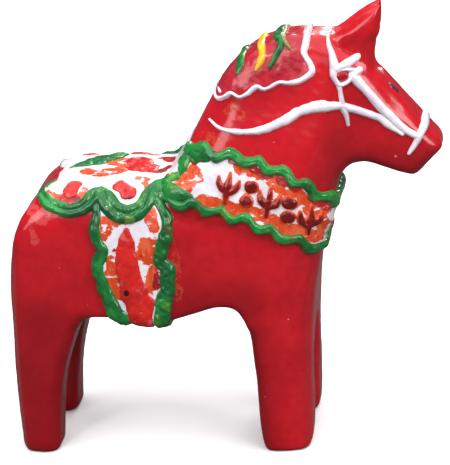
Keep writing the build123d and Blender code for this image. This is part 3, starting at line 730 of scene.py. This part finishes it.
# ---- finishes ----
class Nodes:
    """Lays out the nodes of one material or group."""

    def __init__(self, tree):
        self.tree = tree

    def add(self, kind, **values):
        node = self.tree.nodes.new(kind)
        for name, value in values.items():
            setattr(node, name, value)
        return node

    def link(self, source, target):
        self.tree.links.new(source, target)

    def place(self, node, socket, value):
        if isinstance(value, bpy.types.NodeSocket):
            self.link(value, node.inputs[socket])
        else:
            node.inputs[socket].default_value = value

    def math(self, operation, a, b=0.0, clamp=False):
        node = self.add("ShaderNodeMath", operation=operation, use_clamp=clamp)
        self.place(node, 0, a)
        self.place(node, 1, b)
        return node.outputs[0]

    def ramp(self, value, low, high, out_low=0.0, out_high=1.0):
        node = self.add("ShaderNodeMapRange", interpolation_type="SMOOTHSTEP")
        for socket, item in (("Value", value), ("From Min", low), ("From Max", high), ("To Min", out_low),
                             ("To Max", out_high)):
            self.place(node, socket, item)
        return node.outputs["Result"]

    def mix(self, share, a, b):
        node = self.add("ShaderNodeMix", data_type="RGBA")
        self.place(node, 0, share)
        self.place(node, 6, a)
        self.place(node, 7, b)
        return node.outputs[2]

    def noise(self, size, detail=3.0, rough=0.55, stretch=None, vector=None):
        """Noise with features about size millimetres across."""
        where = vector or self.add("ShaderNodeTexCoord").outputs["Object"]
        if stretch:
            mapping = self.add("ShaderNodeMapping")
            mapping.inputs["Scale"].default_value = stretch
            self.link(where, mapping.inputs["Vector"])
            where = mapping.outputs["Vector"]
        node = self.add("ShaderNodeTexNoise")
        self.link(where, node.inputs["Vector"])
        self.place(node, "Scale", 1000.0 / size if not isinstance(size, bpy.types.NodeSocket) else size)
        self.place(node, "Detail", detail)
        self.place(node, "Roughness", rough)
        return node.outputs["Fac"]

    def attribute(self, name):
        return self.add("ShaderNodeAttribute", attribute_name=name).outputs["Fac"]

    def group(self, tree, **values):
        node = self.add("ShaderNodeGroup")
        node.node_tree = tree
        for name, value in values.items():
            self.place(node, name.replace("_", " "), value)
        return node


def new_group(name, inputs, outputs):
    tree = bpy.data.node_groups.new(name, "ShaderNodeTree")
    for label, kind, value in inputs:
        socket = tree.interface.new_socket(label, in_out="INPUT", socket_type=kind)
        socket.default_value = value
    for label, kind in outputs:
        tree.interface.new_socket(label, in_out="OUTPUT", socket_type=kind)
    nodes = Nodes(tree)
    return tree, nodes, nodes.add("NodeGroupInput").outputs, nodes.add("NodeGroupOutput").inputs


def orange_peel_group():
    """The height of a lacquer film: a fine orange peel, soft brush drag and a few pinholes."""
    tree, nodes, given, out = new_group(
        "lacquer_film",
        [("Peel", "NodeSocketFloat", 1.0), ("Drag", "NodeSocketFloat", 1.0),
         ("Pits", "NodeSocketFloat", 1.0)],
        [("Height", "NodeSocketFloat"), ("Pit mask", "NodeSocketFloat")])
    peel = nodes.math("MULTIPLY", nodes.noise(0.9, 2.0), given["Peel"])
    drag = nodes.math("MULTIPLY", nodes.noise(3.2, 2.0, stretch=(1.0, 1.0, 0.45)), given["Drag"])
    cells = nodes.add("ShaderNodeTexVoronoi")
    cells.inputs["Scale"].default_value = 420.0
    nodes.link(nodes.add("ShaderNodeTexCoord").outputs["Object"], cells.inputs["Vector"])
    near = nodes.ramp(cells.outputs["Distance"], 0.10, 0.05)
    rare = nodes.ramp(nodes.noise(5.0, 1.0), 0.60, 0.66)
    pits = nodes.math("MULTIPLY", nodes.math("MULTIPLY", near, rare), given["Pits"])
    nodes.link(pits, out["Pit mask"])
    nodes.link(nodes.math("SUBTRACT", nodes.math("ADD", peel, drag), pits), out["Height"])
    return tree


def dab_group():
    """Turns how far inside a dab a point lies into a painted area with a ragged, dry-brushed edge."""
    tree, nodes, given, out = new_group(
        "ragged_dab",
        [("Inside", "NodeSocketFloat", 0.0), ("Ragged", "NodeSocketFloat", 0.8),
         ("Dry", "NodeSocketFloat", 0.5)],
        [("Mask", "NodeSocketFloat")])
    swing = nodes.math("SUBTRACT", nodes.noise(1.5, 4.0, 0.65), 0.5)
    wander = nodes.math("MULTIPLY", swing, given["Ragged"])
    edge = nodes.ramp(nodes.math("ADD", given["Inside"], nodes.math("MULTIPLY", wander, 2.4)), -0.04, 0.08)
    dry = nodes.ramp(nodes.noise(1.7, 4.0, 0.65, stretch=(1.0, 1.0, 1.8)), 0.36, 0.44)
    cover = nodes.math("MAXIMUM", dry, nodes.math("SUBTRACT", 1.0, given["Dry"]))
    nodes.link(nodes.math("MULTIPLY", edge, cover), out["Mask"])
    return tree


def mottle_group():
    """Slow and quick changes of depth in a hand-brushed colour, from 0 to 1."""
    tree, nodes, given, out = new_group(
        "brushed_depth", [("Coarse", "NodeSocketFloat", 0.6)],
        [("Depth", "NodeSocketFloat"), ("Streaks", "NodeSocketFloat")])
    slow = nodes.noise(9.0, 3.0)
    quick = nodes.noise(1.6, 4.0, 0.6)
    share = nodes.math("MULTIPLY", slow, given["Coarse"])
    rest = nodes.math("MULTIPLY", quick, nodes.math("SUBTRACT", 1.0, given["Coarse"]))
    nodes.link(nodes.ramp(nodes.math("ADD", share, rest), 0.36, 0.64), out["Depth"])
    nodes.link(nodes.ramp(nodes.noise(1.1, 3.0, 0.6, stretch=(1.0, 1.0, 0.25)), 0.45, 0.62), out["Streaks"])
    return tree


FILM, DAB, MOTTLE = orange_peel_group(), dab_group(), mottle_group()


def finish(name, paint, rough=(0.16, 0.28), bump=0.10, peel=0.5, drag=1.0, pits=1.0, coat=0.35):
    """A lacquered paint. paint(nodes, depth, streaks) lays its colour."""
    material = bpy.data.materials.new(name)
    material.use_nodes = True
    nodes = Nodes(material.node_tree)
    shader = material.node_tree.nodes["Principled BSDF"]
    shader.inputs["Coat Roughness"].default_value = 0.04
    shader.inputs["Coat Weight"].default_value = coat
    shader.inputs["IOR"].default_value = 1.5
    mottle = nodes.group(MOTTLE).outputs
    film = nodes.group(FILM, Peel=peel, Drag=drag, Pits=pits).outputs
    colour = paint(nodes, mottle["Depth"], mottle["Streaks"])
    nodes.link(nodes.mix(nodes.math("MULTIPLY", film["Pit mask"], 0.35), colour, (0.75, 0.55, 0.55, 1)),
               shader.inputs["Base Color"])
    nodes.link(nodes.ramp(mottle["Depth"], 0.0, 1.0, rough[1], rough[0]), shader.inputs["Roughness"])
    relief = nodes.add("ShaderNodeBump")
    relief.inputs["Strength"].default_value = 1.0
    relief.inputs["Distance"].default_value = bump * MM
    nodes.link(film["Height"], relief.inputs["Height"])
    nodes.link(relief.outputs["Normal"], shader.inputs["Normal"])
    nodes.link(relief.outputs["Normal"], shader.inputs["Coat Normal"])
    return material


def two_tone(dark, light):
    return lambda nodes, depth, streaks: nodes.mix(depth, (*dark, 1), (*light, 1))


def red_body(nodes, depth, streaks):
    base = nodes.mix(depth, (0.44, 0.0045, 0.011, 1), (0.56, 0.009, 0.017, 1))
    # painted shade: the red is mixed darker where shade falls, under the belly, on the rear legs, jaw and
    # throat
    shade = nodes.ramp(nodes.attribute("shade"), -3.0, 2.5, 0.0, 0.55)
    base = nodes.mix(shade, base, (0.19, 0.0015, 0.005, 1))
    smear = nodes.group(DAB, Inside=nodes.attribute("smear"), Ragged=0.9, Dry=0.75).outputs[0]
    smear = nodes.math("MULTIPLY", smear, nodes.ramp(nodes.noise(0.7, 3.0, 0.7), 0.46, 0.56))
    # painted highlight: the rump's rough scuffs are mixed lighter pink
    scuff = nodes.group(DAB, Inside=nodes.attribute("scuff"), Ragged=1.2, Dry=0.9).outputs[0]
    base = nodes.mix(nodes.math("MULTIPLY", smear, 0.40), base, (0.60, 0.12, 0.03, 1))
    return nodes.mix(nodes.math("MULTIPLY", scuff, 0.35), base, (0.75, 0.14, 0.13, 1))


def white_ground(nodes, depth, streaks):
    base = nodes.mix(depth, (0.74, 0.70, 0.76, 1), (0.90, 0.88, 0.92, 1))
    orange = nodes.group(DAB, Inside=nodes.attribute("orange"), Ragged=0.8, Dry=1.0).outputs[0]
    tone = nodes.mix(streaks, (0.66, 0.055, 0.006, 1), (0.78, 0.12, 0.035, 1))
    base = nodes.mix(orange, base, tone)
    # red dabs: dark red paint on saddle and girth, and on the collar the painted shadow under the upper rope
    red = nodes.group(DAB, Inside=nodes.attribute("red"), Ragged=0.8, Dry=0.25).outputs[0]
    return nodes.mix(red, base, nodes.mix(depth, (0.20, 0.004, 0.006, 1), (0.50, 0.012, 0.012, 1)))


def green(nodes, depth, streaks):
    base = nodes.mix(depth, (0.007, 0.105, 0.026, 1), (0.022, 0.29, 0.05, 1))
    lime = nodes.ramp(nodes.noise(3.0, 3.0), 0.59, 0.70)
    base = nodes.mix(nodes.math("MULTIPLY", lime, 0.5), base, (0.16, 0.40, 0.020, 1))
    earth = nodes.ramp(nodes.noise(2.6, 3.0, stretch=(1.0, 1.2, 0.8)), 0.62, 0.70)
    base = nodes.mix(nodes.math("MULTIPLY", earth, 0.4), base, (0.22, 0.08, 0.015, 1))
    return nodes.mix(nodes.math("MULTIPLY", streaks, 0.25), base, (0.004, 0.055, 0.02, 1))


def coral(nodes, depth, streaks):
    base = nodes.mix(depth, (0.46, 0.008, 0.009, 1), (0.68, 0.022, 0.016, 1))
    pink = nodes.ramp(nodes.noise(2.0, 2.0), 0.55, 0.68)
    base = nodes.mix(nodes.math("MULTIPLY", pink, 0.55), base, (0.78, 0.16, 0.17, 1))
    return nodes.mix(nodes.ramp(nodes.attribute("pit"), 0.02, 0.14), base, (0.02, 0.004, 0.004, 1))


def maroon(nodes, depth, streaks):
    edge = nodes.ramp(nodes.attribute("tall"), 0.24, 0.42)
    base = nodes.mix(depth, (0.10, 0.002, 0.003, 1), (0.26, 0.006, 0.005, 1))
    return nodes.mix(edge, (0.70, 0.07, 0.010, 1), base)


FINISHES = {
    "red_lacquer": finish("red_lacquer", red_body, rough=(0.16, 0.24), bump=0.08, peel=0.25, drag=0.9),
    "mane_red": finish("mane_lacquer", two_tone((0.36, 0.006, 0.016), (0.60, 0.026, 0.050)), bump=0.12,
                       drag=1.2),
    "green_paint": finish("green_enamel", green, rough=(0.12, 0.2), bump=0.16, drag=1.6, coat=0.35),
    "white_ground": finish("white_ground_enamel", white_ground, rough=(0.25, 0.4), bump=0.16, drag=1.4,
                           coat=0.7),
    "white_cord": finish("white_cord_enamel", two_tone((0.70, 0.64, 0.74), (0.90, 0.87, 0.93)), bump=0.12,
                         coat=0.8),
    "coral_paint": finish("coral_enamel", coral, rough=(0.24, 0.34), bump=0.2, drag=1.6, coat=0.15),
    "maroon_paint": finish("maroon_enamel", maroon, bump=0.2, drag=1.4),
    "eye_red": finish("eye_enamel", two_tone((0.30, 0.004, 0.008), (0.48, 0.008, 0.012)), bump=0.08),
    "yellow_paint": finish("yellow_enamel", two_tone((0.72, 0.36, 0.008), (0.90, 0.58, 0.02)), bump=0.2,
                           drag=1.6),
    "tan_paint": finish("tan_enamel", two_tone((0.22, 0.20, 0.07), (0.48, 0.34, 0.16)), bump=0.2, drag=1.6),
    "black_paint": finish("black_enamel", two_tone((0.012, 0.014, 0.02), (0.05, 0.06, 0.075)), bump=0.1),
}


def dress():
    """Every shown piece takes the finish of its slot."""
    slots = {s["node"]: s["material_slot"] for s in frame["record"]["subparts"]}
    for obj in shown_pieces():
        material = FINISHES[obj.get("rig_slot") or slots[obj.name]]
        if obj.name in slots:
            for place in obj.material_slots:
                place.material = material
            if not obj.material_slots:
                obj.data.materials.append(material)
        else:
            obj.data.materials.clear()
            obj.data.materials.append(material)


dress()


# ---- floor, light and camera ----
def backdrop():
    """A pale floor, and pale surroundings that shine only a little in the lacquer."""
    bpy.ops.mesh.primitive_plane_add(size=3.0)
    floor = bpy.context.object
    floor.name = "floor"
    material = bpy.data.materials.new("pale_floor")
    material.use_nodes = True
    nodes = Nodes(material.node_tree)
    shader = material.node_tree.nodes["Principled BSDF"]
    seen = nodes.add("ShaderNodeLightPath").outputs["Is Camera Ray"]
    nodes.link(nodes.mix(seen, (0.06, 0.05, 0.05, 1), (0.92, 0.92, 0.92, 1)), shader.inputs["Base Color"])
    shader.inputs["Roughness"].default_value = 0.8
    floor.data.materials.append(material)


def area_light(name, place, aim, size, power, colour=(1, 1, 1), shines=True):
    light = bpy.data.lights.new(name, "AREA")
    light.shape = "RECTANGLE"
    light.size, light.size_y = size
    light.energy = power
    light.color = colour
    obj = bpy.data.objects.new(name, light)
    obj.visible_glossy = shines
    obj.location = place
    obj.rotation_euler = (Vector(aim) - Vector(place)).to_track_quat("-Z", "Y").to_euler()
    bpy.context.scene.collection.objects.link(obj)


AIM = (0.0, 0.0, 0.03)       # what every lamp points at


def lights():
    world = bpy.data.worlds.new("studio")
    world.use_nodes = True
    nodes = Nodes(world.node_tree)
    background = world.node_tree.nodes["Background"]
    path = nodes.add("ShaderNodeLightPath").outputs
    dim = nodes.mix(path["Is Glossy Ray"], (0.42, 0.42, 0.44, 1), (0.07, 0.07, 0.08, 1))
    nodes.link(nodes.mix(path["Is Camera Ray"], dim, (1.0, 1.0, 1.0, 1)), background.inputs["Color"])
    bpy.context.scene.world = world
    area_light("overhead", (0.03, 0.02, 0.50), AIM, (0.85, 0.60), 1.7, (1.0, 0.93, 0.98))
    area_light("overhead_soft", (0.03, 0.02, 0.52), AIM, (0.85, 0.60), 2.8, shines=False)
    area_light("front_panel", (-0.12, -0.50, 0.30), AIM, (0.60, 0.16), 0.30, (1.0, 0.93, 0.97))
    area_light("front_left", (-0.34, -0.44, 0.42), AIM, (0.42, 0.42), 1.5)
    area_light("front_right", (0.45, -0.30, 0.30), AIM, (0.30, 0.30), 1.5)
    area_light("spark", (-0.10, -0.34, 0.50), AIM, (0.05, 0.05), 0.35)
    area_light("rear", (0.10, 0.50, 0.30), AIM, (0.25, 0.20), 1.2)


def camera():
    azimuth, elevation, roll = (math.radians(a) for a in (8.9, 20.0, -4.2))
    distance, target = 0.330, Vector((-0.0004, 0.0, 0.0332))
    back = Vector((math.sin(azimuth) * math.cos(elevation), -math.cos(azimuth) * math.cos(elevation),
                   math.sin(elevation)))
    right = Vector((math.cos(azimuth), math.sin(azimuth), 0))
    up = back.cross(right)
    turned_right = right * math.cos(roll) + up * math.sin(roll)
    turned_up = up * math.cos(roll) - right * math.sin(roll)
    data = bpy.data.cameras.new("camera")
    data.lens = 160
    data.sensor_width = 36
    obj = bpy.data.objects.new("camera", data)
    obj.matrix_world = Matrix.Translation(target + back * distance) @ Matrix(
        (turned_right, turned_up, back)).transposed().to_4x4()
    bpy.context.scene.collection.objects.link(obj)
    bpy.context.scene.camera = obj


backdrop()
lights()
camera()
bpy.context.scene.view_settings.view_transform = "Standard"
